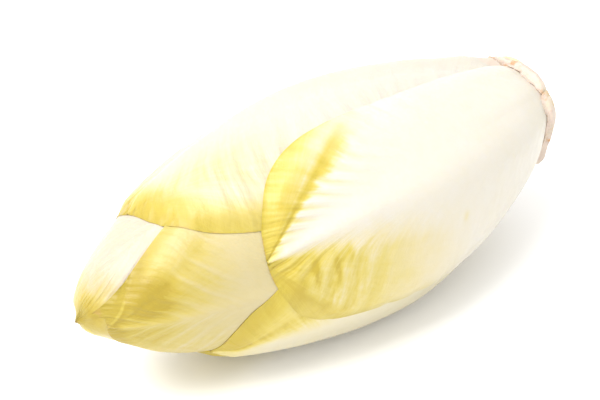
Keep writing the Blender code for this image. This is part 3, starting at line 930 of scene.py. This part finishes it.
coreCut = {
    "rings": 48, "faceRings": 30, "sides": 144, "face": 0.0116, "roundness": 0.6,
    "lip": 0.0036, "lipRing": (0.8, 0.985),        # shares of the lip and of the face's radius
    "backTo": 0.97, "weld": 0.00002,
}
coreSkin = {
    "stops": [(0.0, (0.58, 0.54, 0.43)), (0.5, (0.53, 0.44, 0.28)), (1.0, (0.36, 0.20, 0.09))],
    "first": 0.16, "mottle": 0.8, "drift": 0.6, "ring": 0.12, "ringSpots": 0.4, "dry": 0.35,
    "ringAt": 0.62, "ringEdge": (0.04, 0.14), "ringDrift": 0.2,            # shares of the face
    "dryFrom": (0.80, 1.0), "dryDrift": 0.3,
    "spotNoise": (900, 2), "spotFrom": (0.08, 0.20), "mottleNoise": (600, 3), "driftNoise": (160, 3),
    "roughness": 0.6, "roughMottle": 0.2, "bump": 0.0004, "ringBump": 0.3,
    "glow": {"Subsurface Weight": 0.12, "Subsurface Radius": (1.0, 0.7, 0.4), "Subsurface Scale": 0.0015},
}


def coreMaterial():
    cut = Finish("cut_core")
    mottle = cut.noise(*coreSkin["mottleNoise"])
    drift = cut.noise(*coreSkin["driftNoise"])
    spots = cut.rise(cut.noise(*coreSkin["spotNoise"]), *coreSkin["spotFrom"])
    fromMiddle = cut.attribute("fromMiddle")
    ringPlace = fromMiddle + drift * coreSkin["ringDrift"]
    ring = cut.near(ringPlace, coreSkin["ringAt"], *coreSkin["ringEdge"])
    dry = cut.rise(fromMiddle + drift * coreSkin["dryDrift"], *coreSkin["dryFrom"])
    shade = mottle * coreSkin["mottle"] + drift * coreSkin["drift"] + dry * coreSkin["dry"]
    shade = shade + ring * (spots * coreSkin["ringSpots"] + coreSkin["ring"]) + coreSkin["first"]
    colour = cut.ramp(shade, coreSkin["stops"])
    roughness = coreSkin["roughness"] + mottle * coreSkin["roughMottle"]
    height = mottle + ring * coreSkin["ringBump"]
    return cut.skin(colour, roughness, height, coreSkin["bump"], coreSkin["glow"])


def closeCore():
    # the grid's two ends meet in a welded seam, its first row in a pole, and its back is filled
    bpy.ops.object.mode_set(mode="EDIT")
    bpy.ops.mesh.select_all(action="SELECT")
    bpy.ops.mesh.remove_doubles(threshold=coreCut["weld"])
    bpy.ops.mesh.select_all(action="DESELECT")
    bpy.ops.mesh.select_non_manifold()
    bpy.ops.mesh.fill()
    bpy.ops.mesh.select_all(action="SELECT")
    bpy.ops.mesh.normals_make_consistent(inside=False)
    bpy.ops.object.mode_set(mode="OBJECT")


def makeCore():
    # a cone with its point in the heart and a domed end where the head was cut
    rings, sides, face, lip = [coreCut[name] for name in ("rings", "sides", "face", "lip")]
    made = addGrid("endive_core", rings, sides)
    row, column = gridOrder(made, rings, sides)
    turn = np.linspace(0, math.pi / 2, coreCut["faceRings"])
    dome = -cutDome / headLength * np.cos(turn) ** coreCut["roundness"]
    lipShare, lipRadius = coreCut["lipRing"]
    back = np.linspace(lip, coreCut["backTo"] * core["reach"], rings - coreCut["faceRings"])
    shares = np.concatenate([dome, [lipShare * lip], back])
    radii = np.concatenate([face * np.sin(turn), [lipRadius * face], coreRadius(back)])
    share = shares[:, None] + np.zeros((1, sides + 1))
    azimuth = np.linspace(0, 360, sides + 1)[None, :] + np.zeros((rings + 1, 1))
    movePoints(made, place(share, azimuth, radii[:, None] + np.zeros_like(share))[row, column])
    storeAttribute(made, "fromMiddle", (radii / face)[row])
    closeCore()
    finishPiece(made, coreMaterial(), "core_stem")


makeCore()
print("core made")

studio = {
    "azimuth": -38.2, "elevation": 36.3, "distance": 0.6, "aim": (-0.0037, 0.0, 0.0306),
    "lens": 156.4, "sensor": 36,
    "floorSize": 4.0, "floorColour": (0.96, 0.96, 0.96), "floorRoughness": 0.9, "floorShine": 0.1,
    "world": 1.22, "keyPlace": (-0.36, 0.07, 0.77), "keyAim": (0, 0, 0.02),
    "keySize": 0.60, "keyPower": 9.8,
}


def lookAt(thing, target):
    toTarget = np.array(target) - np.array(thing.location)
    flat = math.hypot(toTarget[0], toTarget[1])
    thing.rotation_euler = (math.atan2(flat, -toTarget[2]), 0, math.atan2(-toTarget[0], toTarget[1]))


def makeFloor():
    deselectAll()
    bpy.ops.mesh.primitive_plane_add(size=studio["floorSize"], location=(0, 0, 0))
    floor = bpy.context.active_object
    floor.name = "floor"
    white = Finish("floor_white")
    white.join(white.shader.inputs["Base Color"], studio["floorColour"])
    white.shader.inputs["Roughness"].default_value = studio["floorRoughness"]
    white.shader.inputs["Specular IOR Level"].default_value = studio["floorShine"]
    floor.data.materials.append(white.material)


def makeLight():
    world = bpy.data.worlds.new("studio")
    world.use_nodes = True
    world.node_tree.nodes["Background"].inputs["Color"].default_value = (1, 1, 1, 1)
    world.node_tree.nodes["Background"].inputs["Strength"].default_value = studio["world"]
    bpy.context.scene.world = world
    bpy.context.scene.view_settings.view_transform = "Standard"
    deselectAll()
    bpy.ops.object.light_add(type="AREA", location=studio["keyPlace"])
    key = bpy.context.active_object
    key.name = "key"
    key.data.size = studio["keySize"]
    key.data.energy = studio["keyPower"]
    lookAt(key, studio["keyAim"])


def makeCamera():
    turn, tilt = math.radians(studio["azimuth"]), math.radians(studio["elevation"])
    back = np.array([math.sin(turn) * math.cos(tilt), -math.cos(turn) * math.cos(tilt), math.sin(tilt)])
    deselectAll()
    bpy.ops.object.camera_add(location=tuple(np.array(studio["aim"]) + studio["distance"] * back))
    camera = bpy.context.active_object
    camera.name = "camera"
    camera.data.lens = studio["lens"]
    camera.data.sensor_width = studio["sensor"]
    lookAt(camera, studio["aim"])
    bpy.context.scene.camera = camera


makeFloor()
makeLight()
makeCamera()
print("studio ready")
